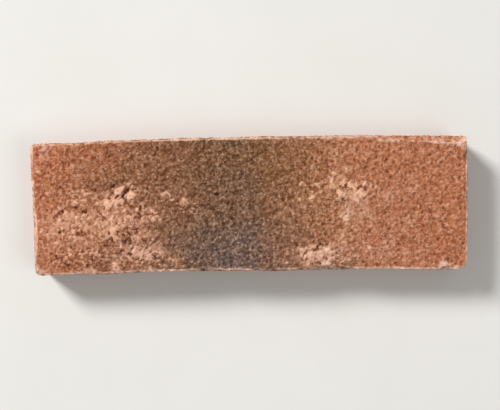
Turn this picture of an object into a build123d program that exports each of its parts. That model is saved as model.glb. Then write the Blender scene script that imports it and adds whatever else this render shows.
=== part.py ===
from build123d import *

import os
from dataclasses import dataclass
from math import cos, radians, sin

# A brick slip: the weathered face of a moulded clay brick, sawn off as one thin piece.
# It is a single solid of fired clay that lies on its sawn back, face up, in millimetres.
# X runs along the slip, Y up its face height as it is laid in a wall, and Z out of the face.
# The origin is the centre of the back's bounding rectangle.

# Face outline. Firing leaves the slip a little out of square and bent in its own plane.
upper_length = 215.0
lower_length = 213.0
left_height = 65.4
right_height = 66.8
upper_camber = 1.7
lower_camber = 1.4

# Worn corners, each measured on the face just inside the rolled arris
upper_left_radius = 0.8
upper_right_radius = 0.4
lower_right_radius = 4.0
lower_left_radius = 1.8

# Depth of the slip, from the sawn back to the highest point of its crowned face
thickness = 20.0

# How far the crowned face has dropped at the ends, and along the two long edges
end_drop = 0.3
long_edge_drop = 0.4

# Rolled arris between the face and the four sides
arris_radius = 1.8


@dataclass
class Spall:
    """A shallow shell-shaped chip off the arris, as a knock takes it."""

    edge: str
    share: float  # Place along the edge, from its left or lower end
    length: float  # Along the arris
    depth: float  # Below the sharp arris, square to the chip
    lean: float  # 0 degrees bites only the side, and 90 degrees only the face


spalls = [
    Spall("upper", share=0.95, length=72.0, depth=1.9, lean=62.0),
    Spall("lower", share=0.67, length=38.0, depth=2.1, lean=28.0),
    Spall("lower", share=0.40, length=36.0, depth=1.3, lean=45.0),
    Spall("lower", share=0.95, length=10.0, depth=1.6, lean=45.0),
    Spall("left", share=0.32, length=40.0, depth=1.3, lean=60.0),
]


def outline_edges():
    """The four edges of the face outline before its corners are worn, by name."""
    upper_left = Vector(-upper_length / 2, left_height / 2)
    upper_right = Vector(upper_length / 2, right_height / 2)
    lower_left = Vector(-lower_length / 2, -left_height / 2)
    lower_right = Vector(lower_length / 2, -right_height / 2)
    upper_middle = (upper_left + upper_right) / 2 + Vector(0, upper_camber)
    lower_middle = (lower_left + lower_right) / 2 + Vector(0, lower_camber)
    return {
        "upper": ThreePointArc(upper_left, upper_middle, upper_right),
        "right": Line(lower_right, upper_right),
        "lower": ThreePointArc(lower_left, lower_middle, lower_right),
        "left": Line(lower_left, upper_left),
    }


def worn_outline(edges):
    """The flat outline with each corner rounded to its own radius."""
    outline = make_face(list(edges.values()))
    corners = [
        (edges["upper"] @ 0, upper_left_radius),
        (edges["upper"] @ 1, upper_right_radius),
        (edges["lower"] @ 1, lower_right_radius),
        (edges["lower"] @ 0, lower_left_radius),
    ]
    for corner, radius in corners:
        nearest = outline.vertices().sort_by_distance(corner)[0]
        outline = fillet(nearest, radius + arris_radius)
    return outline


def face_level(x, y):
    """Height of the crowned face over a point of the outline."""
    half_length = upper_length / 2
    half_height = right_height / 2
    return thickness - end_drop * (x / half_length) ** 2 - long_edge_drop * (y / half_height) ** 2


def crowned_face():
    """The gently domed front surface, drawn to twice the outline's reach so that it cuts right through."""
    stations = [-1.0, -0.5, 0.0, 0.5, 1.0]
    columns = []
    for u in stations:
        places = [(u * upper_length, v * right_height) for v in stations]
        columns.append([Vector(x, y, face_level(x, y)) for x, y in places])
    return Face.make_surface_from_array_of_points(columns)


def spall_ball(spall, edges):
    """The ball whose surface leaves the chip's shallow shell."""
    rim = edges[spall.edge] @ spall.share
    along = edges[spall.edge] % spall.share
    outward = Vector(along.Y, -along.X)
    if outward.dot(rim) < 0:
        outward = -outward
    radius = ((spall.length / 2) ** 2 + spall.depth**2) / (2 * spall.depth)
    reach = radius - spall.depth
    lean = radians(spall.lean)
    level = face_level(rim.X, rim.Y) + reach * sin(lean)
    return Pos(rim + outward * (reach * cos(lean)) + Vector(0, 0, level)) * Sphere(radius)


def brick_slip():
    """The whole slip: a block under a crowned face, with a rolled arris and its chips."""
    edges = outline_edges()
    block = extrude(worn_outline(edges), 2 * thickness)
    slip = split(block, bisect_by=crowned_face(), keep=Keep.BOTTOM)
    front = slip.faces().sort_by(Axis.Z)[-1]
    slip = fillet(front.edges(), arris_radius)
    for spall in spalls:
        slip -= spall_ball(spall, edges)
    box = slip.bounding_box()
    return Pos(-box.center().X, -box.center().Y, -box.min.Z) * slip


os.makedirs("parts", exist_ok=True)
slip = brick_slip()
export_step(slip, "parts/brick_slip.step")
print("brick_slip", slip.bounding_box().size, "volume", round(slip.volume), "solids", len(slip.solids()))
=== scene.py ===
import logging
import math
from collections.abc import Iterable
from dataclasses import dataclass, field
from enum import Enum
from typing import TypeVar

import bmesh
import bpy
import numpy as np
from mathutils import Matrix, Vector, noise
from mathutils.bvhtree import BVHTree
from mathutils.kdtree import KDTree


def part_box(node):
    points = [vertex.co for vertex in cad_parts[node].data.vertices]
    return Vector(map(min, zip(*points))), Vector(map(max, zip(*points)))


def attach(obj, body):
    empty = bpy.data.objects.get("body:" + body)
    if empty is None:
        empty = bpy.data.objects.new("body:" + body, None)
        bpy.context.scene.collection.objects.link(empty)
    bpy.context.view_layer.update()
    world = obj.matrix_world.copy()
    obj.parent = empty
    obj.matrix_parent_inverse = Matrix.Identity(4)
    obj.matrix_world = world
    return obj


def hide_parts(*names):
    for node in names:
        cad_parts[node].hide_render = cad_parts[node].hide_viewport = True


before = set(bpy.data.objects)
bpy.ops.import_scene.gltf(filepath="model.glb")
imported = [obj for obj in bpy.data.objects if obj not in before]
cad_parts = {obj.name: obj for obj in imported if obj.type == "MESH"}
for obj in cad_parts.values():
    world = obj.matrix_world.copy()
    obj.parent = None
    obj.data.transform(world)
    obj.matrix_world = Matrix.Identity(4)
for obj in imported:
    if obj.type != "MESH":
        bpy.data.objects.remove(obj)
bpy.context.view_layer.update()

# Every size below is in millimetres, in the frame's own axes, unless its name says otherwise.
MM = 0.001
NODE = "brick_slip"
BODY = "root"
SAME_PLACE = 1e-4
MERGE_REACH = 1e-3

# Noise: how each finer layer weakens and shrinks, and how far the next pattern lies
LAYER_FALL = 1.0
LAYER_STEP = 2.0
SEED_STEP = (17.3, 5.9, -11.1)

log = logging.getLogger("brick_slip_scene")


class Zone(Enum):
    """The surface of the slip that a point of its skin lies on."""

    FACE = 0
    SIDE = 1
    BACK = 2


class Cast(Enum):
    """A faint cast of colour that the kiln left on the clay, by its attribute's name."""

    OLIVE = "olive"
    STRAW = "straw"
    ROSY = "rosy"
    RUDDY = "ruddy"


@dataclass(frozen=True)
class Ease:
    """A smooth passage from a low level to a high one, as a value passes from start to end."""

    start: float
    end: float
    low: float = 0.0
    high: float = 1.0

    def of(self, value: np.ndarray) -> np.ndarray:
        """The level at each value."""
        t = np.clip((value - self.start) / (self.end - self.start), 0.0, 1.0)
        return self.low + (self.high - self.low) * (t * t * (3.0 - 2.0 * t))


@dataclass(frozen=True)
class Layers:
    """Gradient noise in layers, each half the size of the one before."""

    spread: float
    wavelength: float  # Size of its largest lumps
    seed: int  # Picks the pattern
    count: int = 2

    def at(self, points: np.ndarray) -> np.ndarray:
        """Makes the noise.

        Args:
            points: Places, one row each.

        Returns:
            One value for each point, 0 on average.
        """
        shift = Vector([step * self.seed for step in SEED_STEP])
        places = (Vector(point) / self.wavelength + shift for point in points)
        values = np.array([noise.fractal(place, LAYER_FALL, LAYER_STEP, self.count) for place in places])
        return self.spread * ((values - values.mean()) / values.std())


@dataclass(frozen=True)
class Oval:
    """An oval place on the face."""

    x: float
    y: float
    length: float
    width: float
    turn_degrees: float

    def offsets(self, points: np.ndarray) -> tuple[np.ndarray, np.ndarray]:
        """Measures where points are from the oval's middle.

        Args:
            points: Places, one row each.

        Returns:
            How far each point is along the oval, and across it.
        """
        turn = math.radians(self.turn_degrees)
        dx, dy = points[:, 0] - self.x, points[:, 1] - self.y
        return dx * math.cos(turn) + dy * math.sin(turn), dy * math.cos(turn) - dx * math.sin(turn)

    def ring(self, points: np.ndarray) -> np.ndarray:
        """How far out each point is, from 0 at the oval's middle through 1 on its outline."""
        along, across = self.offsets(points)
        return np.hypot(along / (self.length / 2), across / (self.width / 2))


@dataclass(frozen=True)
class Patch(Oval):
    """A soft mark, strongest at its middle."""

    strength: float

    def cover(self, points: np.ndarray) -> np.ndarray:
        """How strongly the patch covers each point."""
        return self.strength * np.exp(-(self.ring(points) ** 2))


@dataclass(frozen=True)
class Hollow(Oval):
    """A small hollow with a faint lip, where the clay folded in its mould or a lump fell out."""

    depth: float
    lip: float = 0.07
    bluntness: float = 1.2
    lip_ring: float = 1.35
    lip_width: float = 0.3

    def height(self, points: np.ndarray) -> np.ndarray:
        """Works out its relief.

        Args:
            points: Places, one row each.

        Returns:
            The height at each point, below 0 in the hollow and above 0 on its lip.
        """
        ring = self.ring(points)
        bowl = -self.depth * np.clip(1.0 - ring**2, 0.0, None) ** self.bluntness
        return bowl + self.lip * np.exp(-(((ring - self.lip_ring) / self.lip_width) ** 2))


@dataclass(frozen=True)
class Crumb(Oval):
    """A pale lump of salt and sand that stands on the face."""

    rise: float
    bluntness: float = 0.6

    def height(self, points: np.ndarray) -> np.ndarray:
        """Its relief at each point, 0 outside the lump."""
        return self.rise * np.clip(1.0 - self.ring(points) ** 2, 0.0, None) ** self.bluntness


@dataclass(frozen=True)
class Curl(Oval):
    """A pale curled lip of clay, along the part of the oval that its turn points to."""

    rise: float
    thickness: float = 0.34
    bluntness: float = 0.8
    part: Ease = Ease(-0.2, 0.4)

    def height(self, points: np.ndarray) -> np.ndarray:
        """Works out its relief.

        Args:
            points: Places, one row each.

        Returns:
            The height at each point, 0 away from the lip.
        """
        along, across = self.offsets(points)
        ahead = along / np.maximum(np.hypot(along, across), SAME_PLACE)
        lip = np.clip(1.0 - ((self.ring(points) - 1.0) / self.thickness) ** 2, 0.0, None) ** self.bluntness
        return self.rise * lip * self.part.of(ahead)


Mark = TypeVar("Mark", bound=Oval)


def placed(kind: type[Mark], *rows: tuple[float, ...]) -> tuple[Mark, ...]:
    """Makes marks of one kind, each from its x, y, length, width, turn and then the kind's own sizes."""
    return tuple(kind(*row) for row in rows)


def strongest(patches: Iterable[Patch], points: np.ndarray) -> np.ndarray:
    """How strongly each point is covered by the patch that covers it most."""
    return np.maximum.reduce([patch.cover(points) for patch in patches])


def together(patches: Iterable[Patch], points: np.ndarray) -> np.ndarray:
    """How strongly all the patches together cover each point."""
    return np.sum([patch.cover(points) for patch in patches], axis=0)


@dataclass
class Skin:
    """The slip's skin: its lattice, and what is known at each of the lattice's points."""

    lattice: bmesh.types.BMesh
    points: np.ndarray
    normals: np.ndarray
    zone: np.ndarray
    from_arris: np.ndarray

    def on(self, zone: Zone) -> np.ndarray:
        """Whether each point lies on one surface."""
        return self.zone == zone.value

    def bent(self, wander: tuple[Layers, Layers]) -> np.ndarray:
        """Wanders the points a little sideways, so that an oval drawn on them is ragged.

        Args:
            wander: How they wander in x and in y.

        Returns:
            The wandered points, one row each.
        """
        bent = self.points.copy()
        for axis, layers in enumerate(wander):
            bent[:, axis] += layers.at(self.points)
        return bent


@dataclass(frozen=True)
class Scatter:
    """Round pits or crumbs strewn over one surface, more small ones than large."""

    zone: Zone
    count: int
    smallest: float
    largest: float
    rise_share: float  # Height as a share of the radius, below 0 for pits
    softness: float  # 2 for a soft dip and under 1 for a blunt lump
    seed: int
    least_rise: float = 0.5  # Share of its full height that each has at least

    def height(self, skin: Skin, bent: np.ndarray, tree: KDTree, chance: np.ndarray) -> np.ndarray:
        """Works out the relief that they add.

        Args:
            skin: The slip's skin.
            bent: The skin's points as they are wandered for ragged outlines.
            tree: Those same points, for finding the ones near a pit or crumb.
            chance: How likely one is at each point, on any scale.

        Returns:
            The height at each point.
        """
        draw = np.random.default_rng(self.seed)
        chance = np.where(skin.on(self.zone), chance, 0.0)
        height = np.zeros(len(chance))
        for index in draw.choice(len(chance), self.count, p=chance / chance.sum()):
            radius = self.smallest + (self.largest - self.smallest) * draw.random() ** 2
            peak = radius * self.rise_share * draw.uniform(self.least_rise, 1.0)
            for _, near, gap in tree.find_range(Vector(bent[index]), radius):
                level = peak * (1.0 - (gap / radius) ** 2) ** self.softness
                if abs(level) > abs(height[near]):
                    height[near] = level
        return height


class Solid:
    """The frame's slip, as a surface to build on."""

    def __init__(self, node: bpy.types.Object) -> None:
        """Reads the surface from a merged copy of the node's mesh.

        Args:
            node: The frame's slip.
        """
        self.low, self.high = (Vector(corner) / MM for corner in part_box(NODE))
        self.middle = (self.low + self.high) / 2
        self.half = (self.high - self.low) / 2
        copy = bmesh.new()
        copy.from_mesh(node.data)
        bmesh.ops.scale(copy, vec=(1 / MM,) * 3, verts=copy.verts)
        bmesh.ops.remove_doubles(copy, verts=copy.verts, dist=MERGE_REACH)
        self.tree = BVHTree.FromBMesh(copy)
        copy.free()

    def nearest(self, point: Vector) -> Vector:
        """The place on the surface that is nearest to a point."""
        return self.tree.find_nearest(point)[0]

    def side(self, axis: int, sign: int, share: float, level: float) -> float:
        """Finds where a side of the slip is.

        Args:
            axis: 0 for an end and 1 for a long side.
            sign: 1 for the side at the axis's high end, or -1.
            share: Place along the side, from -1 to 1.
            level: Height above the back.

        Returns:
            The side's coordinate on the axis.
        """
        origin = Vector((self.middle.x, self.middle.y, self.low.z + level))
        origin[1 - axis] += share * self.half[1 - axis]
        ray = Vector((0.0, 0.0, 0.0))
        ray[axis] = float(sign)
        return self.tree.ray_cast(origin, ray)[0][axis]


@dataclass
class SkinMaker:
    """Lays an even lattice of quads over the frame's slip."""

    face_pitch: float = 0.5
    side_levels: int = 26
    back_thinning: int = 4
    arris_share_of_levels: float = 0.35
    corner_reach: float = 8.0
    arris_reach: float = 3.5
    relax_rounds: int = 12
    relax_factor: float = 0.5
    probe_level: float = 8.0
    probe_share: float = 0.9  # Of the way from a side's middle to its ends
    probes: int = 9

    def make(self, solid: Solid) -> Skin:
        """Makes the lattice and lays it on the solid.

        Args:
            solid: The frame's slip.

        Returns:
            The skin, in millimetres.
        """
        lattice = self._lattice(solid)
        start = np.array([v.co for v in lattice.verts])
        to_end = np.minimum(start[:, 0] - solid.low.x, solid.high.x - start[:, 0])
        to_side = np.minimum(start[:, 1] - solid.low.y, solid.high.y - start[:, 1])
        to_edge = np.minimum(to_end, to_side)
        on_face = start[:, 2] > solid.high.z - SAME_PLACE
        at_bottom = start[:, 2] < solid.low.z + SAME_PLACE
        rim = at_bottom & (to_edge <= SAME_PLACE)
        on_back = at_bottom & ~rim
        zone = np.where(on_face, Zone.FACE.value, np.where(on_back, Zone.BACK.value, Zone.SIDE.value))
        from_arris = np.where(on_face, to_edge, solid.high.z - start[:, 2])
        at_corner = np.maximum(to_end, to_side) < self.corner_reach
        at_arris = (start[:, 2] > solid.high.z - self.arris_reach) & (to_edge < self.arris_reach)
        self._bend(lattice, solid)
        self._settle(lattice, solid, on_back, rim, (at_corner | at_arris) & ~rim)
        lattice.normal_update()
        normals = np.array([v.normal for v in lattice.verts])
        normals[on_back] = (0.0, 0.0, -1.0)
        normals[rim, 2] = 0.0
        normals /= np.linalg.norm(normals, axis=1)[:, None]
        points = np.array([v.co for v in lattice.verts])
        return Skin(lattice, points, normals, zone, from_arris)

    def _lattice(self, solid: Solid) -> bmesh.types.BMesh:
        """Cuts a box into quads, with fewer on the back, which is smooth.

        Args:
            solid: The frame's slip, whose box it is.

        Returns:
            The lattice.
        """
        size = 2 * solid.half
        lattice = bmesh.new()
        bmesh.ops.create_cube(lattice, size=1.0, matrix=Matrix.LocRotScale(solid.middle, None, size))
        steps = [round(size.x / self.face_pitch), round(size.y / self.face_pitch), self.side_levels]
        for axis, count in enumerate(steps):
            spans = {edge: abs(edge.verts[0].co[axis] - edge.verts[1].co[axis]) for edge in lattice.edges}
            whole = [edge for edge, span in spans.items() if span > solid.half[axis]]
            bmesh.ops.subdivide_edges(lattice, edges=whole, cuts=count - 1, use_grid_fill=True)
        spare = []
        for edge in lattice.edges:
            a, b = (v.co for v in edge.verts)
            if max(a.z, b.z) > solid.low.z + SAME_PLACE:
                continue
            for axis in (0, 1):
                line = round((a[axis] - solid.low[axis]) / size[axis] * steps[axis])
                crossing = abs(a[axis] - b[axis]) < SAME_PLACE
                if crossing and line % self.back_thinning and 0 < line < steps[axis]:
                    spare.append(edge)
        bmesh.ops.dissolve_edges(lattice, edges=spare, use_verts=True)
        return lattice

    def _bend(self, lattice: bmesh.types.BMesh, solid: Solid) -> None:
        """Bends the box to the slip's outline, and crowds its levels towards the arris.

        Args:
            lattice: The lattice, whose points are moved.
            solid: The frame's slip.
        """
        bent = np.array([v.co for v in lattice.verts])
        start = bent.copy()
        shares = np.linspace(-self.probe_share, self.probe_share, self.probes)
        straight, bowed = 1, 2
        for axis, degree in enumerate((straight, bowed)):
            across = (start[:, 1 - axis] - solid.middle[1 - axis]) / solid.half[1 - axis]
            walls = []
            for sign in (-1, 1):
                places = [solid.side(axis, sign, share, self.probe_level) for share in shares]
                walls.append(np.polyval(np.polyfit(shares, places, degree), across))
            share = (start[:, axis] - solid.low[axis]) / (2 * solid.half[axis])
            bent[:, axis] = walls[0] + share * (walls[1] - walls[0])
        height = solid.high.z - solid.low.z
        down = (solid.high.z - start[:, 2]) / height
        crowd = self.arris_share_of_levels
        bent[:, 2] = solid.high.z - height * (crowd * down + (1 - crowd) * down**2)
        for vert, point in zip(lattice.verts, bent):
            vert.co = point

    def _settle(
        self, lattice: bmesh.types.BMesh, solid: Solid,
        on_back: np.ndarray, rim: np.ndarray, loose: np.ndarray,
    ) -> None:
        """Lays the lattice on the slip, and evens out its quads round the corners and the arris.

        Args:
            lattice: The lattice, whose points are moved.
            solid: The frame's slip.
            on_back: Whether each point is inside the back's outline.
            rim: Whether each point is on the back's outline.
            loose: Whether each point may slide to even out the quads.
        """
        verts = list(lattice.verts)

        def lay(index: int) -> None:
            """Moves a point to the nearest place on the slip, or on the back's plane.

            Args:
                index: The point's number.
            """
            if not on_back[index]:
                verts[index].co = solid.nearest(verts[index].co)
            if on_back[index] or rim[index]:
                verts[index].co.z = solid.low.z

        for index in range(len(verts)):
            lay(index)
        sliding = [int(i) for i in np.flatnonzero(loose)]
        for _ in range(self.relax_rounds):
            bmesh.ops.smooth_vert(
                lattice, verts=[verts[i] for i in sliding], factor=self.relax_factor,
                use_axis_x=True, use_axis_y=True, use_axis_z=True,
            )
            for index in sliding:
                lay(index)


@dataclass(frozen=True)
class Folds:
    """Worm-like folds and creases, which sanded clay gets as it is thrown into its mould."""

    size: float
    width: float
    rise: float
    depth: float
    seed: int

    def course(self, points: np.ndarray) -> np.ndarray:
        """Finds how points lie in the folds.

        Args:
            points: Places, one row each.

        Returns:
            For each point, 1 on a fold's crest, -1 in a crease and 0 between them.
        """
        worms = [Layers(1.0, self.size, seed).at(points) for seed in (self.seed, self.seed + 1)]
        crest, crease = (np.exp(-((worm / self.width) ** 2)) for worm in worms)
        return crest - crease

    def height(self, course: np.ndarray) -> np.ndarray:
        """The relief of points that lie so."""
        return np.where(course > 0, self.rise * course, self.depth * course)


@dataclass(frozen=True)
class Streak:
    """A bluish streak from near the upper edge to the lower one, bowed to one side."""

    x: float = 1.0
    y: float = -3.0
    bow: float = 9.0
    bow_reach: float = 30.0
    width: float = 5.0
    strength: float = 0.26
    top: Ease = Ease(26.0, 12.0)

    def cover(self, points: np.ndarray) -> np.ndarray:
        """How strongly the streak covers each point."""
        gap = points[:, 0] - self.x + self.bow * ((points[:, 1] - self.y) / self.bow_reach) ** 2
        return self.strength * np.exp(-((gap / self.width) ** 2)) * self.top.of(points[:, 1])


@dataclass
class KilnSmoke:
    """Where the kiln's smoke darkened the face, in a band across it."""

    middle_x: float = -11.0
    left_reach: float = 88.0
    right_reach: float = 62.0
    soft_top: float = 5.0
    darkest: float = 1.2
    uneven: tuple[Layers, Layers] = (Layers(0.018, 18.0, 41), Layers(0.02, 5.0, 42))
    uneven_in: Ease = Ease(0.0, 0.4)
    core_x: float = -12.0
    core_reach: float = 29.0
    core_low: Ease = Ease(2.0, -22.0)
    streak: Streak = Streak()
    smudges: tuple[Patch, ...] = placed(
        Patch,
        (-73, -27, 28, 12, 0, 0.34), (-64, 13, 22, 14, 0, 0.2), (-78, 8, 18, 8, 0, 0.18),
        (-54, 20, 14, 10, 0, 0.08), (-30, -19, 14, 16, 0, -0.1), (6, -14, 16, 24, 0, -0.08),
        (-8, -24, 18, 14, 0, 0.08), (10, -22, 14, 11, 0, -0.26), (-11, 14, 16, 14, 0, 0.1),
        (-101, -28, 10, 7, 0, 0.2), (-70, 27, 14, 8, 0, -0.12), (51, -29, 12, 6, 0, 0.45),
        (-20, 27, 16, 8, 0, -0.08), (-39, -25, 16, 12, 0, -0.12),
    )
    casts: dict[Cast, tuple[Patch, ...]] = field(default_factory=lambda: {
        Cast.OLIVE: placed(Patch, (30, 4, 74, 70, 0, 0.95), (-29, -19, 36, 26, 0, 1.0)),
        Cast.STRAW: placed(Patch, (-4, 24, 44, 16, 0, 1.0), (-56, 18, 30, 14, 0, 0.5)),
        Cast.ROSY: placed(
            Patch, (54, -24, 36, 14, 0, 1.0), (34, -25, 20, 12, 0, 0.8), (62, -6, 28, 26, 0, 0.6),
            (-52, -22, 22, 12, 0, 1.0), (51, -1, 16, 12, 0, 0.9), (66, 7, 14, 12, 0, 0.5),
        ),
        Cast.RUDDY: placed(Patch, (-72, -28, 32, 9, 0, 1.0), (-88, 27, 36, 10, 0, 0.5)),
    })

    def flash(self, points: np.ndarray) -> np.ndarray:
        """Works out how dark the smoke left the clay.

        Args:
            points: Places, one row each.

        Returns:
            A value for each point, from 0 where the clay is clean to about 1.
        """
        gap = points[:, 0] - self.middle_x
        gap = np.sqrt(gap**2 + self.soft_top**2) - self.soft_top
        reach = np.where(points[:, 0] < self.middle_x, self.left_reach, self.right_reach)
        band = np.clip(1.0 - gap / reach, 0.0, 1.0)
        band += together(self.smudges, points)
        uneven = sum(layers.at(points) for layers in self.uneven)
        return np.clip(band + uneven * self.uneven_in.of(band), 0.0, self.darkest)

    def tinge(self, points: np.ndarray, cast: Cast) -> np.ndarray:
        """How strong one cast of colour is at each point, from 0 to 1."""
        return np.clip(together(self.casts[cast], points), 0.0, 1.0)

    def cool(self, points: np.ndarray) -> np.ndarray:
        """How bluish the smoke is at each point, most of all low in its core."""
        core = np.exp(-(((points[:, 0] - self.core_x) / self.core_reach) ** 2))
        return core * self.core_low.of(points[:, 1]) + self.streak.cover(points)


@dataclass
class SaltBloom:
    """The salts that the wet clay brought to its face: thin pink film, with pale crumbs and curls on it."""

    films: tuple[Patch, ...] = placed(
        Patch,
        (-85, -8, 41, 20, 6, 1.2), (-67, -5, 32, 21, 0, 1.1), (-91, -18, 30, 14, 0, 0.7),
        (-66, 3.4, 16, 9, 16, 0.5), (-99, 27, 18, 8, 0, 0.4), (-54, -22, 30, 18, -10, 0.85),
        (-42, -22, 14, 11, 0, 0.65), (-56, -14, 20, 8, 0, 0.8), (-40, -26, 16, 10, 0, 0.42),
        (50, -1, 22, 16, 40, 0.82), (44, 10, 22, 16, -30, 0.5), (54, 8, 20, 12, 0, 0.45),
        (66, 1, 22, 26, 0, 0.55), (34, -25, 26, 14, 5, 0.8), (46, -17, 20, 12, 60, 0.68),
        (64, -22, 26, 15, 0, 0.66), (78, -25, 34, 14, 0, 0.44), (80, -3, 40, 34, 0, 0.38),
        (71, -21, 11, 8, 0, 0.7),
    )
    crusts: tuple[Patch, ...] = placed(
        Patch,
        (-64, 4, 21, 9, 20, 0.9), (-83, 5, 20, 8, 0, 0.6), (-69, -9, 24, 18, -20, 0.8),
        (-90, -7, 26, 14, 0, 0.7), (-40, 5, 12, 8, 0, 0.6), (-32, 1, 10, 8, 0, 0.55),
        (-48, -3, 16, 8, 0, 0.68), (-56, -23, 30, 16, 0, 0.62), (-42, -27, 14, 9, 0, 0.5),
        (-66, -28, 8, 7, 0, 0.7), (30, 5, 11, 13, 0, 0.6), (43, 12, 16, 14, -30, 0.6),
        (53, 6, 18, 12, -10, 0.62), (47, -7, 11, 11, 0, 0.5), (34, -25, 22, 13, 5, 0.78),
        (52, -22, 24, 13, 0, 0.4), (44, 22, 10, 10, 0, 0.5),
    )
    crumbs: tuple[Crumb, ...] = placed(
        Crumb,
        (-63.7, 8, 7, 2.8, 36, 0.62), (-58.3, 5.3, 5.2, 3.8, 60, 0.55), (-71.6, 6.6, 2.2, 1.6, 0, 0.2),
        (-32, 2.4, 3.4, 2, -30, 0.24), (-69.8, 1.3, 6, 3.2, -65, 0.45), (-65.4, 2.9, 8, 2.6, 12, 0.42),
        (-59.2, 11.3, 2, 1.6, 0, 0.3), (-80.5, 7.2, 6.5, 1.5, -15, 0.25), (-86, 7.6, 2.2, 1.4, 20, 0.25),
        (-99.3, 7.4, 2.6, 2.2, 0, 0.25), (-103.2, 18, 2.8, 2.4, 0, 0.35),
        (-67.3, -11.4, 4.8, 3.4, 60, 0.38), (-63, -9, 3, 2.2, 70, 0.25), (-51.5, -1.6, 2.5, 1.5, 0, 0.3),
        (-47.9, -2, 2.8, 1.7, 0, 0.35), (-46, -5.2, 2.4, 1.3, 0, 0.25), (-66.4, -28.4, 3.2, 3, 0, 0.4),
        (-44, -21.6, 4, 1.6, -50, 0.25), (25.4, 10, 2.4, 2.6, 0, 0.28), (30.4, 3.4, 4.4, 2, 15, 0.4),
        (30.8, 6, 1.8, 1.6, 0, 0.3), (33.6, 9.2, 3.2, 2.8, 0, 0.35), (41.4, 15, 3.2, 2.8, 0, 0.35),
        (46.5, 17, 4, 1.5, -30, 0.25), (40, 8.6, 4.4, 1.6, 40, 0.25), (44.4, 4.7, 5.4, 3.2, -25, 0.48),
        (50.1, 8.8, 5, 3.2, -10, 0.48), (54.3, 4.9, 5.4, 2, -33, 0.45), (56.3, 9.8, 3.6, 1.5, 85, 0.35),
        (59.6, 8.4, 2.2, 1.8, 90, 0.3), (51.6, 1.6, 7, 1.8, -30, 0.25), (46.8, -7.2, 4.4, 3.4, 20, 0.38),
        (37.6, -22.6, 4, 3.8, 0, 0.4), (29.5, -24.8, 3.2, 2.8, 0, 0.35), (33.4, -26.6, 3, 1.8, 30, 0.3),
        (28.4, -21.8, 2.4, 1.6, 0, 0.25), (37.3, -29.2, 3, 2.6, 0, 0.4), (91.6, 6.9, 2, 1.4, 0, 0.25),
    )
    curls: tuple[Curl, ...] = placed(
        Curl,
        (-41, 4.2, 5.2, 3.6, 80, 0.26), (-27.6, -2.2, 3.4, 2.4, -60, 0.2),
        (-49.6, -2.4, 4.6, 2, 95, 0.22),
    )
    thick: Scatter = Scatter(Zone.FACE, 1100, 0.35, 1.0, 0.36, 0.8, 23)
    film_edge: Ease = Ease(0.18, 0.8)
    mottle: Layers = Layers(0.16, 8.0, 51, 4)
    mottled_in: Ease = Ease(0.02, 0.3)
    swirls: Layers = Layers(1.0, 7.0, 54)
    swirl_width: float = 0.3
    swirl_gap: float = 0.6

    def film(self, skin: Skin) -> np.ndarray:
        """Works out the film, which is thinner along curled lines.

        Args:
            skin: The slip's skin.

        Returns:
            How much the film hides the clay at each point, from 0 to 1.
        """
        cover = strongest(self.films, skin.points)
        film = self.film_edge.of(cover + self.mottle.at(skin.points) * self.mottled_in.of(cover))
        swirls = np.exp(-((self.swirls.at(skin.points) / self.swirl_width) ** 2))
        return np.where(skin.on(Zone.FACE), film * (1.0 - self.swirl_gap * swirls), 0.0)

    def crust(self, skin: Skin) -> np.ndarray:
        """How crowded the crumbs are round each point, from 0 to about 1."""
        return np.where(skin.on(Zone.FACE), strongest(self.crusts, skin.points), 0.0)

    def lumps(self, skin: Skin, bent: np.ndarray, tree: KDTree, crust: np.ndarray) -> np.ndarray:
        """Works out the relief of the crumbs and curls.

        Args:
            skin: The slip's skin.
            bent: The skin's points as they are wandered for ragged outlines.
            tree: Those same points, for finding the ones near a crumb.
            crust: How crowded the crumbs are round each point.

        Returns:
            The height at each point.
        """
        single = np.maximum.reduce([lump.height(bent) for lump in self.crumbs + self.curls])
        strewn = self.thick.height(skin, bent, tree, crust**2)
        return np.maximum(single, strewn) * skin.on(Zone.FACE)


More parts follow.
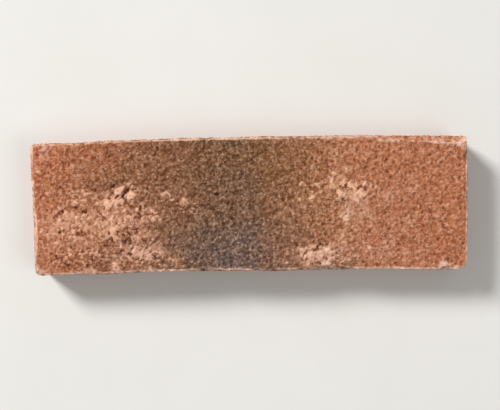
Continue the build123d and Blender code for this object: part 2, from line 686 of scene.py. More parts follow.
@dataclass
class Relief:
    """The height of the fired skin over the plain solid."""

    face_ease: float = 0.42
    side_ease: float = 0.12
    side_tuck: Ease = Ease(0.0, 4.0, 0.0, 0.4)
    side_gain: Ease = Ease(0.5, 5.0, 0.0, 0.9)
    swells: tuple[Layers, Layers] = (Layers(0.08, 48.0, 11), Layers(0.04, 13.0, 12))
    grain: tuple[Layers, Layers] = (Layers(0.025, 4.6, 13), Layers(0.1, 1.6, 14))
    ragged: tuple[Layers, Layers] = (Layers(0.28, 2.6, 31), Layers(0.28, 2.6, 32))
    fine_folds: Folds = Folds(2.9, 0.4, 0.15, 0.19, 17)
    coarse_folds: Folds = Folds(3.8, 0.38, 0.32, 0.26, 37)
    plain_share: float = 0.45  # Of the folds' strength, where the face isn't churned
    churned: tuple[Patch, ...] = placed(
        Patch,
        (-86, -9, 42, 32, 0, 0.58), (-62, -6, 32, 36, 0, 0.9), (-52, -22, 30, 20, 0, 0.8),
        (-85, -24, 42, 15, 0, 0.75), (50, 4, 28, 24, 0, 0.75), (34, -25, 28, 14, 0, 0.85),
    )
    churning: Ease = Ease(0.1, 0.7)
    smooth: tuple[Patch, ...] = placed(
        Patch,
        (-88, -6.6, 26, 6.5, 0, 1), (-64, -2.5, 13, 6, 0, 0.75), (51, -1, 13, 9, 0, 0.7),
    )
    clear_of_lumps: Ease = Ease(0.3, 0.05)
    thin_crust: Ease = Ease(0.3, 0.9, 0.0, 0.1)
    crust_grain: Layers = Layers(1.0, 2.1, 15)
    crust_limits: tuple[float, float] = (-0.5, 2.0)
    arris_loss: float = 0.04
    arris_reach: float = 1.6
    arris_calm: Ease = Ease(0.5, 4.0, 0.4, 1.0)
    nicks: Layers = Layers(1.0, 5.5, 16, 3)
    nick_start: float = 1.1
    nick_limit: float = 1.6
    nick_depth: float = 0.18
    hollows: tuple[Hollow, ...] = placed(
        Hollow,
        (-60.7, 6.9, 7.6, 1.7, 47, 1.25, 0), (-65, 4.7, 4.4, 1.2, 15, 0.7, 0),
        (-59.8, 2.1, 3.2, 1.6, -10, 0.5), (-75.8, 8.2, 3.4, 1.9, 0, 0.5), (-68.6, 8.6, 2.4, 1.8, 40, 0.4),
        (-66, 10.6, 5, 2.4, 36, 0.6, 0), (-72.4, 4.6, 4.4, 1.3, 0, 0.5, 0), (-81, -2.1, 3.5, 3, 0, 0.95),
        (-92, -1.9, 4.8, 2.7, 20, 0.7), (-85, 0.6, 5, 2.2, 40, 0.45), (-94.9, -4.6, 3.3, 2.7, 0, 0.75),
        (-92.5, -12.2, 6, 2.1, -10, 0.62), (-82, -13.2, 8.6, 3.6, 5, 0.36),
        (-71, -18.6, 3.2, 2.2, 90, 0.55), (-97.6, -22.8, 2.6, 1.8, 30, 0.35),
        (-60.4, -14, 4.4, 1.6, 0, 0.5), (-63, -21, 3.6, 2, 50, 0.5), (-89, -30.4, 2.6, 1.6, 0, 0.45),
        (-41.4, 8.3, 5.2, 1.3, -8, 0.5), (-41.2, 3.4, 2.8, 1.5, 0, 0.4, 0),
        (-35.2, 1.9, 1.9, 1.9, 0, 0.4), (-26, -1.3, 3.6, 1.4, -10, 0.55), (-49.5, -3.6, 7.4, 1.1, 0, 0.5),
        (-53.3, -1, 3.8, 2, 80, 0.45), (-44.8, 15, 6, 1.6, 80, 0.28), (-21.6, 10.8, 2.8, 1.8, 60, 0.5),
        (-16.2, 5.8, 2.8, 2, 0, 0.45), (-26, 27.6, 3, 2.2, 0, 0.35), (3, -25.2, 2.6, 1.5, 0, 0.4, 0.16),
        (4.4, -10, 2, 1.6, 0, 0.35), (12.3, 1, 2, 1.8, 0, 0.4), (28.4, 10.2, 2.8, 1.8, -40, 0.45),
        (29.8, -0.8, 3.2, 1.5, 0, 0.4), (43, 0.6, 2.6, 2.3, 0, 0.5), (53, 10.8, 3.2, 1.4, 0, 0.4),
        (56.2, 2.6, 3.2, 1.6, 10, 0.55), (56.8, 6.5, 2.4, 1.3, 0, 0.5), (61.2, 7.9, 2.4, 2, 0, 0.4),
        (57, 17.5, 2.8, 2.5, 0, 0.35), (67.2, 20.6, 2.4, 1.9, 60, 0.4), (69.2, 12, 3.2, 2, 80, 0.45),
        (72.2, 3, 2.8, 2.2, 70, 0.45), (35.5, -9.8, 2.2, 1.8, 0, 0.35), (26.3, -24.8, 2.4, 1.8, 50, 0.45),
        (33, -28.8, 4.8, 2, 0, 0.65), (32.9, -21.4, 2.6, 2, 60, 0.5), (40.3, -28.4, 2.8, 2, 0, 0.55),
    )
    face_pits: Scatter = Scatter(Zone.FACE, 360, 0.5, 1.3, -0.3, 1.6, 7)
    side_pits: Scatter = Scatter(Zone.SIDE, 420, 0.7, 2.4, -0.45, 1.6, 8)
    least_pits: float = 0.3  # Chance of a pit among the thickest crumbs

    def heights(self, skin: Skin, salts: SaltBloom, crust: np.ndarray) -> tuple[np.ndarray, ...]:
        """Works out the whole relief.

        Args:
            skin: The slip's skin.
            salts: The salts on the face.
            crust: How crowded their crumbs are round each point.

        Returns:
            The height at each point, the part of it that is grain, folds, pits and crumbs, the crumbs alone,
            and how each point lies in the folds, less so where they are faint.
        """
        points, from_arris = skin.points, skin.from_arris
        on_face, on_side = skin.on(Zone.FACE), skin.on(Zone.SIDE)
        rough = 1.0 + np.where(on_side, self.side_gain.of(from_arris), 0.0)
        swell, grain = (sum(layers.at(points) for layers in pair) for pair in (self.swells, self.grain))
        bent = skin.bent(self.ragged)
        tree = KDTree(len(bent))
        for index, point in enumerate(bent):
            tree.insert(point, index)
        tree.balance()
        rugged = 1.0 - strongest(self.smooth, points)
        pits = rugged * self.face_pits.height(skin, bent, tree, np.clip(1.0 - crust, self.least_pits, 1.0))
        pits += self.side_pits.height(skin, bent, tree, np.ones(len(points)))
        lumps = salts.lumps(skin, bent, tree, crust)
        hollows = np.where(on_face, np.sum([hollow.height(bent) for hollow in self.hollows], axis=0), 0.0)
        churn = self.churning.of(strongest(self.churned, points))
        fine, coarse = (folds.course(points) for folds in (self.fine_folds, self.coarse_folds))
        course = ((1.0 - churn) * fine + churn * coarse) * self.clear_of_lumps.of(lumps) * rugged
        curls = (1.0 - churn) * self.fine_folds.height(course) + churn * self.coarse_folds.height(course)
        course *= self.plain_share + (1.0 - self.plain_share) * churn
        thin = self.thin_crust.of(crust) * np.clip(self.crust_grain.at(points), *self.crust_limits)
        nicks = np.clip(self.nicks.at(points) - self.nick_start, 0.0, self.nick_limit)
        wear = -(self.arris_loss + self.nick_depth * nicks) * np.exp(-((from_arris / self.arris_reach) ** 2))
        ease = -np.where(on_side, self.side_ease + self.side_tuck.of(from_arris), self.face_ease)
        calm = self.arris_calm.of(from_arris)
        small = calm * (grain * rough + pits + curls * on_face) + hollows + lumps + thin
        total = np.where(on_face | on_side, ease + swell * rough + small + wear, 0.0)
        return total, small, lumps, course


@dataclass(frozen=True)
class Edge:
    """How strong and wide the pale line of wear and painted highlight is along one edge of the face, at
    evenly spaced places from its left or lower end.
    """

    strength: tuple[float, ...]
    width: tuple[float, ...]

    def at(self, share: np.ndarray) -> tuple[np.ndarray, ...]:
        """The wear's strength and width at places along the edge, given from 0 to 1."""
        rows = (self.strength, self.width)
        return tuple(np.interp(share, np.linspace(0, 1, len(row)), row) for row in rows)


@dataclass
class ArrisWearAndHighlight:
    """The pale line along the four edges of the face: clay worn pale by knocks and rubbing, and painted
    highlight where the rounded edge and its chips catch the light.
    """

    left: Edge = Edge((0.8, 0.95, 0.85), (1.7, 1.9, 1.5))
    right: Edge = Edge((1.1, 0.95, 1.0, 1.1), (1.3, 1.1, 1.2, 1.3))
    lower: Edge = Edge((1.0, 1.1, 1.0, 0.85, 1.1, 1.15), (1.6, 1.5, 1.7, 1.5, 1.8, 1.9))
    upper: Edge = Edge((0.7, 0.8, 0.85, 0.95, 0.8, 0.42, 0.34), (1.4, 1.4, 1.7, 2.1, 2.4, 2.6, 3.0))
    fall: float = 4.0  # How sharply the pale line ends
    # The pale line is also painted highlight where the face tilts down at the edge and its chips, and where
    # the sides turn up to it
    tilted: Ease = Ease(0.998, 0.95)  # Of the surface direction's upward part, on the face
    turned_up: Ease = Ease(0.12, 0.3)  # The same on the sides
    reach_down: float = 5.0
    usual: float = 0.9
    least: float = 0.3
    patches: Layers = Layers(0.2, 9.0, 61, 3)
    knock_reach: Ease = Ease(6.0, 5.0)
    # Pale knocks where the clay is laid bare, some of them painted highlights, such as those along the
    # chips' edge at the upper right
    knocks_and_highlights: tuple[Patch, ...] = placed(
        Patch,
        (-104.5, -31.5, 7, 5, 0, 1.1), (-80, -32, 12, 5, 0, 0.9), (-66.5, -30, 4.6, 6, 0, 0.95),
        (-51, -32, 18, 4, 0, 0.8), (70, 30.7, 26, 2.2, -2, 0.75), (94, 29.1, 22, 2.2, -5, 0.9),
        (103, 28.4, 9, 3, -12, 1.05), (94.4, -31, 6.5, 4, 0, 1.2), (100.6, -32.6, 5, 2.4, 0, 0.65),
        (37, -30.5, 5, 6, 0, 0.9), (-100, 29, 8, 5, 0, 0.6),
    )

    def pallor_and_highlight(self, skin: Skin) -> np.ndarray:
        """Works out how pale the arris is, from wear and from painted highlight.

        Args:
            skin: The slip's skin.

        Returns:
            A value for each point, from 0 to about 1, and more at the knocks, where a knock laid the clay
            bare or a highlight is painted.
        """
        x, y = skin.points[:, 0], skin.points[:, 1]
        nearest = np.argmin([x - x.min(), x.max() - x, y - y.min(), y.max() - y], axis=0)
        along_x, along_y = ((part - part.min()) / np.ptp(part) for part in (x, y))
        ends = [edge.at(along_y) for edge in (self.left, self.right)]
        sides = [edge.at(along_x) for edge in (self.lower, self.upper)]
        strength, width = (np.choose(nearest, rows) for rows in zip(*ends, *sides))
        beside = strength * np.exp(-((skin.from_arris / width) ** self.fall))
        on_face = np.maximum(beside, strength * self.tilted.of(skin.normals[:, 2]))
        down = np.exp(-((skin.from_arris / self.reach_down) ** 2))
        on_side = strength * np.maximum(down, self.turned_up.of(skin.normals[:, 2]))
        patchy = np.clip(self.usual + self.patches.at(skin.points), self.least, 1.0)
        worn_and_highlight = patchy * np.where(skin.on(Zone.FACE), on_face, on_side)
        knocked_and_highlighted = strongest(self.knocks_and_highlights, skin.points)
        knocked_and_highlighted *= np.where(skin.on(Zone.FACE), 1.0, self.knock_reach.of(skin.from_arris))
        return np.where(skin.on(Zone.BACK), 0.0, np.maximum(worn_and_highlight, knocked_and_highlighted))


def soften(points: np.ndarray, low: Vector, high: Vector, margin: float) -> np.ndarray:
    """Eases points that come near the sides or the top of a box, so that none leaves it.

    Args:
        points: Places, one row each.
        low: The box's lowest corner.
        high: The box's highest corner.
        margin: Distance from the wall at which the easing starts.

    Returns:
        The eased points, none of them below the box.
    """
    eased = points.copy()
    eased[:, 2] = np.maximum(eased[:, 2], low.z)
    sides = [(axis, sign, corner[axis]) for axis in (0, 1) for sign, corner in ((1, high), (-1, low))]
    for axis, sign, wall in [*sides, (2, 1, high.z)]:
        over = (sign * (eased[:, axis] - wall) + margin) / margin
        held = wall - sign * margin + sign * margin * np.tanh(over)
        eased[:, axis] = np.where(over > 0, held, eased[:, axis])
    return eased


@dataclass
class BrickSlip:
    """The whole slip: one piece of fired clay."""

    skin: SkinMaker = field(default_factory=SkinMaker)
    smoke: KilnSmoke = field(default_factory=KilnSmoke)
    salts: SaltBloom = field(default_factory=SaltBloom)
    relief: Relief = field(default_factory=Relief)
    arris: ArrisWearAndHighlight = field(default_factory=ArrisWearAndHighlight)
    wall_margin: float = 0.15
    crease_degrees: float = 60.0
    bare: Ease = Ease(-0.6, -0.2)  # No salt reaches the floor of a hollow
    crusted: Ease = Ease(0.25, 0.95)
    salted: Ease = Ease(0.02, 0.38)
    below_arris: Ease = Ease(4.0, 9.0)

    def build(self, node: bpy.types.Object) -> bpy.types.Object:
        """Models the slip over the frame's solid.

        Args:
            node: The frame's slip.

        Returns:
            The finished piece, with its marks stored as attributes of its points.
        """
        solid = Solid(node)
        skin = self.skin.make(solid)
        crust = self.salts.crust(skin)
        heights, small, lumps, course = self.relief.heights(skin, self.salts, crust)
        raised = skin.points + skin.normals * heights[:, None]
        raised = soften(raised, solid.low, solid.high, self.wall_margin)
        bare = self.bare.of(small)
        marks = {
            "flash": self.smoke.flash(skin.points),
            "cool": self.smoke.cool(skin.points),
            "film": self.salts.film(skin) * bare,
            "crust": self.crusted.of(crust) * bare,
            "salt": self.salted.of(lumps) * bare,
            # The pale edge line: worn clay and painted highlight
            "wear": self.arris.pallor_and_highlight(skin),
            "fold": course,
            "height": np.where(skin.on(Zone.BACK), 0.0, small),
            "side": np.where(skin.on(Zone.SIDE), self.below_arris.of(skin.from_arris), 0.0),
            "sawn": skin.on(Zone.BACK).astype(float),
        }
        marks |= {cast.value: self.smoke.tinge(skin.points, cast) for cast in Cast}
        return self._piece(skin.lattice, raised, marks)

    def _piece(
        self, lattice: bmesh.types.BMesh, points: np.ndarray, marks: dict[str, np.ndarray]
    ) -> bpy.types.Object:
        """Turns the lattice into an object.

        Args:
            lattice: The lattice, which is freed.
            points: Its finished points, in millimetres.
            marks: Values to store on the points, by name.

        Returns:
            The object, in metres.
        """
        for edge in lattice.edges:
            edge.smooth = edge.calc_face_angle(0.0) < math.radians(self.crease_degrees)
        for face in lattice.faces:
            face.smooth = True
        mesh = bpy.data.meshes.new("brick_slip_skin")
        lattice.to_mesh(mesh)
        lattice.free()
        mesh.vertices.foreach_set("co", (points * MM).astype(np.float32).ravel())
        for name, values in marks.items():
            layer = mesh.attributes.new(name, "FLOAT", "POINT")
            layer.data.foreach_set("value", values.astype(np.float32))
        mesh.update()
        piece = bpy.data.objects.new("weathered_slip", mesh)
        bpy.context.scene.collection.objects.link(piece)
        return piece


Colour = tuple[float, float, float]
Socket = bpy.types.NodeSocket
Inputs = dict[str | int, object]

# A screen's curve: a straight foot up to the knee, and a power above it
SCREEN_WHITE = 255
KNEE = 0.04045
FOOT = 12.92
LIFT = 0.055
POWER = 2.4


def from_screen(colour: Colour) -> tuple[float, ...]:
    """Turns a colour as a screen shows it into the renderer's linear one.

    Args:
        colour: Its red, green and blue, each from 0 to 255.

    Returns:
        Its linear red, green and blue from 0 to 1, and full cover.
    """
    parts = [part / SCREEN_WHITE for part in colour]
    linear = [part / FOOT if part <= KNEE else ((part + LIFT) / (1 + LIFT)) ** POWER for part in parts]
    return (*linear, 1.0)


@dataclass(frozen=True)
class Mottle:
    """A patchy pattern: noise from about 0 to 1, eased to the levels wanted."""

    wavelength: float  # Size of its largest lumps
    shift: float  # Picks the pattern
    ease: Ease
    detail: float = 3.0  # Number of finer layers


@dataclass(frozen=True)
class Sand:
    """Sand grains of one size."""

    spacing: float
    shift: float  # Picks the pattern
    strength: float


@dataclass(frozen=True)
class Specks:
    """Scattered round specks."""

    spacing: float  # Distance between the places where a speck may be
    size_share: float  # Radius of a speck as a share of the spacing
    chance: float  # Share of the places that have one
    shift: float  # Picks the pattern
    strength: float
    softness: float = 0.25  # Width of the soft edge, as a share of the radius to each side


@dataclass(frozen=True)
class SawArcs:
    """Faint arcs that the saw's blade left, in rings round a far centre."""

    centre: tuple[float, float, float] = (30.0, -330.0, 0.0)
    spacing: float = 2.3
    wander_size: float = 25.0
    wander_shift: float = 4.4
    wander_radians: float = 16.0
    fade: Mottle = Mottle(11.0, 5.1, Ease(0.3, 0.7), 2.0)
    shade: Ease = Ease(-1.0, 1.0, 0.93, 1.0)


class NodeBoard:
    """Lays out the nodes of one material."""

    ragged_size: float = 0.9
    ragged_reach: float = 0.45
    noise_roughness: float = 0.6
    shift_way: tuple[float, float, float] = (1.0, 0.7, -0.4)
    colour_sockets: tuple[int, int] = (6, 7)  # Of a node that mixes

    def __init__(self, name: str) -> None:
        """Starts a material with its shader and its object coordinates.

        Args:
            name: The material's name.
        """
        self.material = bpy.data.materials.new(name)
        self.material.use_nodes = True
        self.tree = self.material.node_tree
        self.shader = self.tree.nodes["Principled BSDF"]
        self.place = self.node("TexCoord", {}).outputs["Object"]
        self.ragged = self._wandered(self.ragged_size, self.ragged_reach)

    def fill(self, node: bpy.types.Node, inputs: Inputs) -> None:
        """Wires a node's sockets to the outputs of others, or sets them to plain values.

        Args:
            node: The node.
            inputs: What its sockets take, by name or number.
        """
        for name, value in inputs.items():
            if isinstance(value, bpy.types.NodeSocket):
                self.tree.links.new(value, node.inputs[name])
            else:
                node.inputs[name].default_value = value

    def node(self, kind: str, inputs: Inputs, operation: str = "") -> bpy.types.Node:
        """Adds a node.

        Args:
            kind: Its type, without the words that all shader nodes start with.
            inputs: What its sockets take, by name or number.
            operation: What it computes, where its type leaves a choice.

        Returns:
            The node.
        """
        node = self.tree.nodes.new("ShaderNode" + kind)
        if operation:
            node.operation = operation
        self.fill(node, inputs)
        return node

    def _wandered(self, wavelength: float, reach: float) -> Socket:
        """Moves the object coordinates to and fro, which makes patterns drawn on them ragged.

        Args:
            wavelength: Distance over which the movement changes.
            reach: Size of the movement.

        Returns:
            The moved coordinates.
        """
        cloud = self.node("TexNoise", {"Vector": self.place, "Scale": 1 / (wavelength * MM), "Detail": 1.0})
        parts = {0: cloud.outputs["Color"], 1: (2 * reach * MM,) * 3, 2: self.place}
        return self.node("VectorMath", parts, "MULTIPLY_ADD").outputs["Vector"]

    def _shifted(self, place: Socket, shift: float) -> Socket:
        """Coordinates moved far enough along that a pattern on them looks new."""
        away = tuple(shift * part for part in self.shift_way)
        return self.node("VectorMath", {0: place, 1: away}, "ADD").outputs["Vector"]

    def attribute(self, name: str) -> Socket:
        """Reads a value that is stored on the piece's points.

        Args:
            name: The attribute's name.

        Returns:
            Its value.
        """
        node = self.node("Attribute", {})
        node.attribute_name = name
        return node.outputs["Fac"]

    def noise(self, wavelength: float, shift: float, detail: float = 3.0) -> Socket:
        """Makes noise from about 0 to 1.

        Args:
            wavelength: Size of its largest lumps.
            shift: Number that picks the pattern.
            detail: Number of finer layers.

        Returns:
            The noise's value.
        """
        inputs = {
            "Vector": self._shifted(self.place, shift), "Scale": 1 / (wavelength * MM),
            "Detail": detail, "Roughness": self.noise_roughness,
        }
        return self.node("TexNoise", inputs).outputs["Fac"]

    def rise(self, value: Socket, ease: Ease) -> Socket:
        """Eases a value.

        Args:
            value: The value to ease.
            ease: The levels that it passes between.

        Returns:
            The level at the value.
        """
        ends = {"From Min": ease.start, "From Max": ease.end, "To Min": ease.low, "To Max": ease.high}
        node = self.node("MapRange", {"Value": value} | ends)
        node.interpolation_type = "SMOOTHSTEP"
        return node.outputs["Result"]

    def mark(self, name: str, ease: Ease) -> Socket:
        """A stored value, eased."""
        return self.rise(self.attribute(name), ease)

    def mottle(self, mottle: Mottle) -> Socket:
        """A patchy pattern's level."""
        return self.rise(self.noise(mottle.wavelength, mottle.shift, mottle.detail), mottle.ease)

    def cells(self, spacing: float, shift: float) -> tuple[Socket, Socket, Socket]:
        """Makes cells of sand-grain shape.

        Args:
            spacing: Distance between cells.
            shift: Number that picks the pattern.

        Returns:
            Distance from the cell's middle in spacings, and two random values from 0 to 1 for each cell.
        """
        inputs = {"Vector": self._shifted(self.ragged, shift), "Scale": 1 / (spacing * MM)}
        node = self.node("TexVoronoi", inputs)
        lots = self.node("SeparateColor", {"Color": node.outputs["Color"]})
        return node.outputs["Distance"], lots.outputs["Green"], lots.outputs["Red"]

    def specks(self, specks: Specks) -> Socket:
        """Scatters specks.

        Args:
            specks: Their sizes.

        Returns:
            Their strength inside a speck and 0 outside, with a soft edge.
        """
        distance, _, lot = self.cells(specks.spacing, specks.shift)
        share, soft = specks.size_share, specks.softness
        inside = self.rise(distance, Ease(share * (1 + soft), share * (1 - soft)))
        return self.times(self.times(inside, self.math("LESS_THAN", lot, specks.chance)), specks.strength)

    def arcs(self, saw: SawArcs) -> Socket:
        """Draws a saw's arcs, which wander and fade a little.

        Args:
            saw: Their sizes.

        Returns:
            How bright they leave the clay.
        """
        centre = tuple(MM * part for part in saw.centre)
        distance = self.node("VectorMath", {0: self.place, 1: centre}, "DISTANCE").outputs["Value"]
        turns = self.times(distance, 2 * math.pi / (saw.spacing * MM))
        wander = self.times(self.noise(saw.wander_size, saw.wander_shift, 1.0), saw.wander_radians)
        wave = self.times(self.math("SINE", self.math("ADD", turns, wander)), self.mottle(saw.fade))
        return self.rise(wave, saw.shade)

    def math(self, operation: str, a: object, b: object = 0.0) -> Socket:
        """One arithmetic step on two values."""
        return self.node("Math", {0: a, 1: b}, operation).outputs["Value"]

    def times(self, a: object, b: object) -> Socket:
        """The product of two values."""
        return self.math("MULTIPLY", a, b)

    def mix(self, factor: object, first: object, second: object, blend: str = "MIX") -> Socket:
        """Mixes two colours, each a socket or as a screen shows it.

        Args:
            factor: Share of the second colour.
            first: The colour beneath.
            second: The colour laid on it.
            blend: How it is laid on.

        Returns:
            The mixed colour.
        """
        node = self.node("Mix", {0: factor})
        node.data_type = "RGBA"
        node.blend_type = blend
        for number, colour in zip(self.colour_sockets, (first, second)):
            self.fill(node, {number: from_screen(colour) if isinstance(colour, tuple) else colour})
        return node.outputs[2]

    def dim(self, colour: Socket, factor: Socket) -> Socket:
        """A colour multiplied by a value."""
        return self.node("VectorMath", {"Vector": colour, "Scale": factor}, "SCALE").outputs["Vector"]

    def ramp(self, factor: Socket, stops: dict[float, Colour]) -> Socket:
        """Runs through a row of colours.

        Args:
            factor: Place in the row, from 0 to 1.
            stops: The colours, each by its place.

        Returns:
            The colour at the factor's place.
        """
        node = self.node("ValToRGB", {"Fac": factor})
        bar = node.color_ramp.elements
        for number, (place, colour) in enumerate(stops.items()):
            stop = bar[number] if number < len(bar) else bar.new(place)
            stop.position = place
            stop.color = from_screen(colour)
        return node.outputs["Color"]

    def bump(self, height: Socket, depth: float, beneath: Socket | None = None) -> Socket:
        """Adds fine relief.

        Args:
            height: Height from 0 to 1.
            depth: How deep that is.
            beneath: Relief that this one lies on.

        Returns:
            The bent surface direction.
        """
        under = {} if beneath is None else {"Normal": beneath}
        return self.node("Bump", {"Distance": depth * MM, "Height": height} | under).outputs["Normal"]


@dataclass(frozen=True)
class FiredClay:
    """Sand-faced clay, salmon where the kiln was clean and brown where its smoke reached."""

    # The body, from clean to smoked, and its casts
    clean: Colour = (181, 111, 76)
    warm: Colour = (162, 102, 69)
    brown: Colour = (140, 90, 60)
    umber: Colour = (124, 83, 55)
    smoked: Colour = (111, 78, 55)
    smoke_steps: tuple[float, ...] = (0.0, 0.3, 0.58, 0.8, 1.0)
    smoke_wander: Mottle = Mottle(2.2, 1.3, Ease(0.2, 0.8, -0.12, 0.12))
    cool_smoke: Colour = (100, 84, 80)
    cool_veil: Mottle = Mottle(6.5, 3.9, Ease(0.3, 0.62, 0.5, 1.0))
    ruddy: Colour = (226, 202, 196)
    ruddy_patches: Mottle = Mottle(7.5, 6.1, Ease(0.5, 0.72, 0.0, 0.22))
    casts: dict[Cast, Colour] = field(default_factory=lambda: {
        Cast.OLIVE: (253, 261, 251),
        Cast.STRAW: (258, 257, 236),
        Cast.ROSY: (255, 263, 281),
        Cast.RUDDY: (255, 238, 232),
    })

    # The salts
    bloom: Colour = (198, 138, 108)
    film_veil: Mottle = Mottle(2.2, 2.2, Ease(0.28, 0.6, 0.08, 0.98))
    pink_salt: Colour = (240, 185, 153)
    crest: Ease = Ease(0.15, 0.75, 0.0, 0.85)
    crest_in_smoke: Ease = Ease(0.3, 1.0, 1.0, 0.55)
    crest_in_film: Ease = Ease(0.0, 0.5, 0.55, 1.0)
    straw_salt: Colour = (230, 178, 135)
    straw_patches: Mottle = Mottle(9.0, 8.1, Ease(0.5, 0.68, 0.0, 0.7))
    dust: Mottle = Mottle(1.3, 7.7, Ease(0.46, 0.68, 0.0, 0.8))
    lump_wear: Mottle = Mottle(1.6, 5.2, Ease(0.2, 0.5, 0.7, 1.0))

    # The worn arris, with its painted highlight
    worn_arris_and_highlight: Colour = (226, 183, 159)
    worn_and_highlight: Ease = Ease(0.12, 0.85, 0.0, 0.92)
    # Brightest spots of the pale edge line: bare clay and painted highlight
    fresh_knock_and_highlight: Colour = (250, 214, 196)
    fresh_and_highlight: Ease = Ease(0.85, 1.35, 0.0, 0.9)
    broken: Mottle = Mottle(2.6, 5.5, Ease(0.25, 0.75, -0.32, 0.32))

    # The sand, the painted shade in the relief's creases and low places, and paler raised parts that are
    # partly dust and partly painted highlight
    # Colour of the dark sand grains and specks, and of the painted shade in creases and hollows
    stain_and_shade: Colour = (150, 118, 98)
    # Painted shade in the folds' creases and in the relief's low places
    crease: Ease = Ease(-0.05, -0.7)
    sunken_shade: Ease = Ease(0.12, -0.5, 0.0, 0.92)
    # Painted shade: how much the deepest hollows are dimmed
    deep_shade: Ease = Ease(-1.0, -0.45, 0.5, 1.0)
    # Colour of the pale sand grains and specks, and of the painted highlight on raised parts
    pale_grain_and_highlight: Colour = (222, 176, 150)
    proud_highlight: Ease = Ease(-0.06, 0.42, 0.0, 0.4)
    clear_of_smoke: Ease = Ease(0.2, 0.9, 1.0, 0.8)
    uneven: Mottle = Mottle(1.6, 9.1, Ease(0.25, 0.75, 0.88, 1.12))
    sand: tuple[Sand, ...] = (Sand(2.1, 6.6, 0.22), Sand(1.3, 1.7, 0.34), Sand(0.75, 4.3, 0.32))
    round_grain: Ease = Ease(0.62, 0.3)
    pale_lots: tuple[float, float] = (0.62, 1.0)
    dark_lots: tuple[float, float] = (0.4, 0.0)
    dark_gain: float = 1.6
    dark_specks: Specks = Specks(2.4, 0.22, 0.14, 1.0, 0.5)
    pale_specks: Specks = Specks(1.8, 0.24, 0.2, 2.0, 0.5)

    # The sides
    bed: Colour = (174, 108, 76)
    bed_dark: Colour = (148, 90, 64)
    bed_patches: Mottle = Mottle(9.0, 8.8, Ease(0.35, 0.7), 4.0)
    bed_smoke: Ease = Ease(0.5, 1.1, 0.0, 0.5)

    # The sawn back
    sawn: Colour = (186, 116, 84)
    sawn_shade: Colour = (170, 102, 72)
    sawn_cloud: Mottle = Mottle(14.0, 6.6, Ease(0.3, 0.7), 4.0)
    sawn_grain: Mottle = Mottle(1.1, 2.9, Ease(0.25, 0.75, 0.86, 1.1))
    saw_arcs: SawArcs = SawArcs()
    dark_grain: Colour = (74, 54, 45)
    sawn_dark: tuple[Specks, ...] = (Specks(1.5, 0.2, 0.3, 10.5, 0.55), Specks(2.9, 0.2, 0.2, 20.3, 0.6))
    sawn_pale: tuple[Specks, ...] = (Specks(1.2, 0.2, 0.3, 8.4, 0.45), Specks(2.3, 0.2, 0.2, 16.1, 0.5))

    # The surface
    roughness: float = 0.92
    shine: float = 0.12
    rough_size: float = 1.2
    rough_shift: float = 3.1
    rough_depth: float = 0.12
    grain_bulge: Ease = Ease(0.6, 0.1)
    grain_depth: float = 0.05

    def make(self) -> bpy.types.Material:
        """Builds the material.

        Returns:
            The finished material.
        """
        board = NodeBoard("fired_clay")
        clay = board.mix(board.attribute("side"), self._face(board), self._side(board))
        clay = self._grain(board, self._salts(board, clay))
        colour = board.mix(board.attribute("sawn"), clay, self._sawn(board))
        coarse = board.bump(board.noise(self.rough_size, self.rough_shift), self.rough_depth)
        distance, _, _ = board.cells(self.sand[-1].spacing, self.sand[-1].shift)
        fine = board.bump(board.rise(distance, self.grain_bulge), self.grain_depth, coarse)
        board.fill(board.shader, {
            "Base Color": colour,
            "Roughness": self.roughness,
            "Specular IOR Level": self.shine,
            "Normal": fine,
        })
        return board.material

    def _face(self, board: NodeBoard) -> Socket:
        """Draws the weathered face, with its smoke.

        Args:
            board: The material's nodes.

        Returns:
            Its colour.
        """
        stops = dict(zip(self.smoke_steps, (self.clean, self.warm, self.brown, self.umber, self.smoked)))
        smoke = board.math("ADD", board.attribute("flash"), board.mottle(self.smoke_wander))
        clay = board.ramp(smoke, stops)
        colour = board.mix(board.mottle(self.ruddy_patches), clay, self.ruddy, "MULTIPLY")
        cool = board.times(board.attribute("cool"), board.mottle(self.cool_veil))
        return board.mix(cool, colour, self.cool_smoke)

    def _salts(self, board: NodeBoard, colour: Socket) -> Socket:
        """Lays on the film, the crumbs and the pale arris, worn and painted as a highlight, and then the
        casts.

        Args:
            board: The material's nodes.
            colour: The bare clay's colour.

        Returns:
            The new colour.
        """
        film = board.times(board.attribute("film"), board.mottle(self.film_veil))
        colour = board.mix(film, colour, self.bloom)
        crest = board.times(board.mark("fold", self.crest), board.mark("flash", self.crest_in_smoke))
        crest = board.times(crest, board.rise(film, self.crest_in_film))
        colour = board.mix(crest, colour, self.pink_salt)
        salt = board.mix(board.mottle(self.straw_patches), self.pink_salt, self.straw_salt)
        dust = board.times(board.attribute("crust"), board.mottle(self.dust))
        lumps = board.times(board.attribute("salt"), board.mottle(self.lump_wear))
        colour = board.mix(board.math("MAXIMUM", dust, lumps), colour, salt)
        # The pale edge line: worn clay, and painted highlight on the rounded edge and its chips
        wear = board.math("ADD", board.attribute("wear"), board.mottle(self.broken))
        for ease, pale in ((self.worn_and_highlight, self.worn_arris_and_highlight), (self.fresh_and_highlight, self.fresh_knock_and_highlight)):
            colour = board.mix(board.rise(wear, ease), colour, pale)
        for cast, tint in self.casts.items():
            colour = board.mix(board.attribute(cast.value), colour, tint, "MULTIPLY")
        return colour

    def _side(self, board: NodeBoard) -> Socket:
        """The rougher and redder sides' colour."""
        bed = board.mix(board.mottle(self.bed_patches), self.bed, self.bed_dark)
        return board.mix(board.mark("flash", self.bed_smoke), bed, self.umber)

    def _grain(self, board: NodeBoard, colour: Socket) -> Socket:
        """Adds sand grains, painted shade in the relief's creases and low places, and paler raised parts
        that are partly dust and partly painted highlight.

        Args:
            board: The material's nodes.
            colour: The colour without them.

        Returns:
            The new colour.
        """
        clear = board.mark("flash", self.clear_of_smoke)
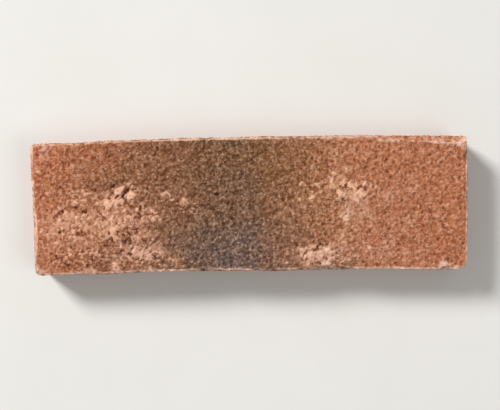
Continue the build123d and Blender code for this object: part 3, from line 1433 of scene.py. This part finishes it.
        # Painted shade: the relief's creases and low places are darkened
        shadow = board.math("MAXIMUM", board.mark("fold", self.crease), board.mark("height", self.sunken_shade))
        colour = board.mix(shadow, colour, self.stain_and_shade, "MULTIPLY")
        # Raised parts paler: partly dust and partly painted highlight, less in the smoke
        colour = board.mix(board.times(board.mark("height", self.proud_highlight), clear), colour, self.pale_grain_and_highlight)
        # Random unevenness in tone, and painted shade deep in the hollows
        colour = board.dim(colour, board.times(board.mottle(self.uneven), board.mark("height", self.deep_shade)))
        for sand in self.sand:
            distance, lot, _ = board.cells(sand.spacing, sand.shift)
            inside = board.rise(distance, self.round_grain)
            pale = board.times(board.rise(lot, Ease(*self.pale_lots, 0.0, sand.strength)), clear)
            colour = board.mix(board.times(pale, inside), colour, self.pale_grain_and_highlight)
            dark = board.rise(lot, Ease(*self.dark_lots, 0.0, self.dark_gain * sand.strength))
            colour = board.mix(board.times(dark, inside), colour, self.stain_and_shade, "MULTIPLY")
        colour = board.mix(board.specks(self.dark_specks), colour, self.stain_and_shade, "MULTIPLY")
        return board.mix(board.times(board.specks(self.pale_specks), clear), colour, self.pale_grain_and_highlight)

    def _sawn(self, board: NodeBoard) -> Socket:
        """Draws the back, where the saw opened the clay's body.

        Args:
            board: The material's nodes.

        Returns:
            Its colour.
        """
        colour = board.mix(board.mottle(self.sawn_cloud), self.sawn_shade, self.sawn)
        colour = board.dim(colour, board.times(board.mottle(self.sawn_grain), board.arcs(self.saw_arcs)))
        for group, grain in ((self.sawn_dark, self.dark_grain), (self.sawn_pale, self.pale_grain_and_highlight)):
            for specks in group:
                colour = board.mix(board.specks(specks), colour, grain)
        return colour


@dataclass(frozen=True)
class PaleFloor:
    """A plain matt floor, very slightly uneven in tone."""

    light: Colour = (228, 226, 222)
    shade: Colour = (225, 223, 218)
    cloud: Mottle = Mottle(60.0, 1.0, Ease(0.2, 0.8))
    roughness: float = 0.9

    def make(self) -> bpy.types.Material:
        """Builds the material.

        Returns:
            The finished material.
        """
        board = NodeBoard("pale_floor")
        colour = board.mix(board.mottle(self.cloud), self.shade, self.light)
        board.fill(board.shader, {"Base Color": colour, "Roughness": self.roughness})
        return board.material


@dataclass(frozen=True)
class Lamp:
    """A square soft light that points at the slip."""

    name: str
    place: tuple[float, float, float]
    size: float
    watts: float

    def hang(self) -> None:
        """Adds the light to the scene."""
        lamp = bpy.data.lights.new(self.name, "AREA")
        lamp.size = self.size * MM
        lamp.energy = self.watts
        light = bpy.data.objects.new(self.name, lamp)
        place = Vector(self.place)
        light.location = place * MM
        light.rotation_euler = (-place).to_track_quat("-Z", "Y").to_euler()
        bpy.context.scene.collection.objects.link(light)


@dataclass
class Studio:
    """The pale floor, the soft lights and sky, and the camera that looks straight down on the slip."""

    floor_size: float = 6000.0
    floor_cells: int = 8
    floor_gap: float = 0.02
    camera_height: float = 462.0  # Above the slip's face
    frame_width_px: int = 500
    slip_width_px: int = 440
    slip_roll_degrees: float = 1.01
    key: Lamp = Lamp("key_light", (-2100.0, 1800.0, 1900.0), 900.0, 130.0)
    fill: Lamp = Lamp("fill_light", (1900.0, -900.0, 2400.0), 1800.0, 22.0)
    sky_colour: tuple[float, ...] = (1.0, 0.99, 0.97, 1.0)
    sky_strength: float = 0.3

    def build(self) -> None:
        """Makes the whole studio."""
        self._floor()
        self.key.hang()
        self.fill.hang()
        self._sky()
        self._camera()
        bpy.context.scene.view_settings.view_transform = "Standard"

    def _floor(self) -> None:
        """Lays the floor just under the slip's back."""
        sheet = bmesh.new()
        cells = self.floor_cells
        bmesh.ops.create_grid(sheet, x_segments=cells, y_segments=cells, size=self.floor_size / 2 * MM)
        mesh = bpy.data.meshes.new("studio_floor")
        sheet.to_mesh(mesh)
        sheet.free()
        floor = bpy.data.objects.new("studio_floor", mesh)
        floor.location.z = -self.floor_gap * MM
        bpy.context.scene.collection.objects.link(floor)
        mesh.materials.append(PaleFloor().make())

    def _sky(self) -> None:
        """Lights the scene evenly from all round."""
        world = bpy.data.worlds.new("studio_sky")
        world.use_nodes = True
        backdrop = world.node_tree.nodes["Background"]
        backdrop.inputs["Color"].default_value = self.sky_colour
        backdrop.inputs["Strength"].default_value = self.sky_strength
        bpy.context.scene.world = world

    def _camera(self) -> None:
        """Hangs the camera straight above the slip, turned so that it lies as in the photograph."""
        low, high = (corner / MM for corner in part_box(NODE))
        lens = bpy.data.cameras.new("overhead_camera")
        seen_width = (high.x - low.x) * self.frame_width_px / self.slip_width_px
        lens.lens = lens.sensor_width * self.camera_height / seen_width
        camera = bpy.data.objects.new("overhead_camera", lens)
        camera.location = Vector((0.0, 0.0, high.z + self.camera_height)) * MM
        camera.rotation_euler = (0.0, 0.0, -math.radians(self.slip_roll_degrees))
        bpy.context.scene.collection.objects.link(camera)
        bpy.context.scene.camera = camera


def main() -> None:
    """Builds the slip and its studio."""
    logging.basicConfig(level=logging.INFO, format="%(message)s")
    piece = BrickSlip().build(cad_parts[NODE])
    piece.data.materials.append(FiredClay().make())
    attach(piece, BODY)
    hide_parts(NODE)
    triangles = sum(len(face.vertices) - 2 for face in piece.data.polygons)
    log.info("%s: %d points, %d triangles", piece.name, len(piece.data.vertices), triangles)
    Studio().build()
    log.info("studio: floor, two lights, sky and camera")


if __name__ == "__main__":
    main()
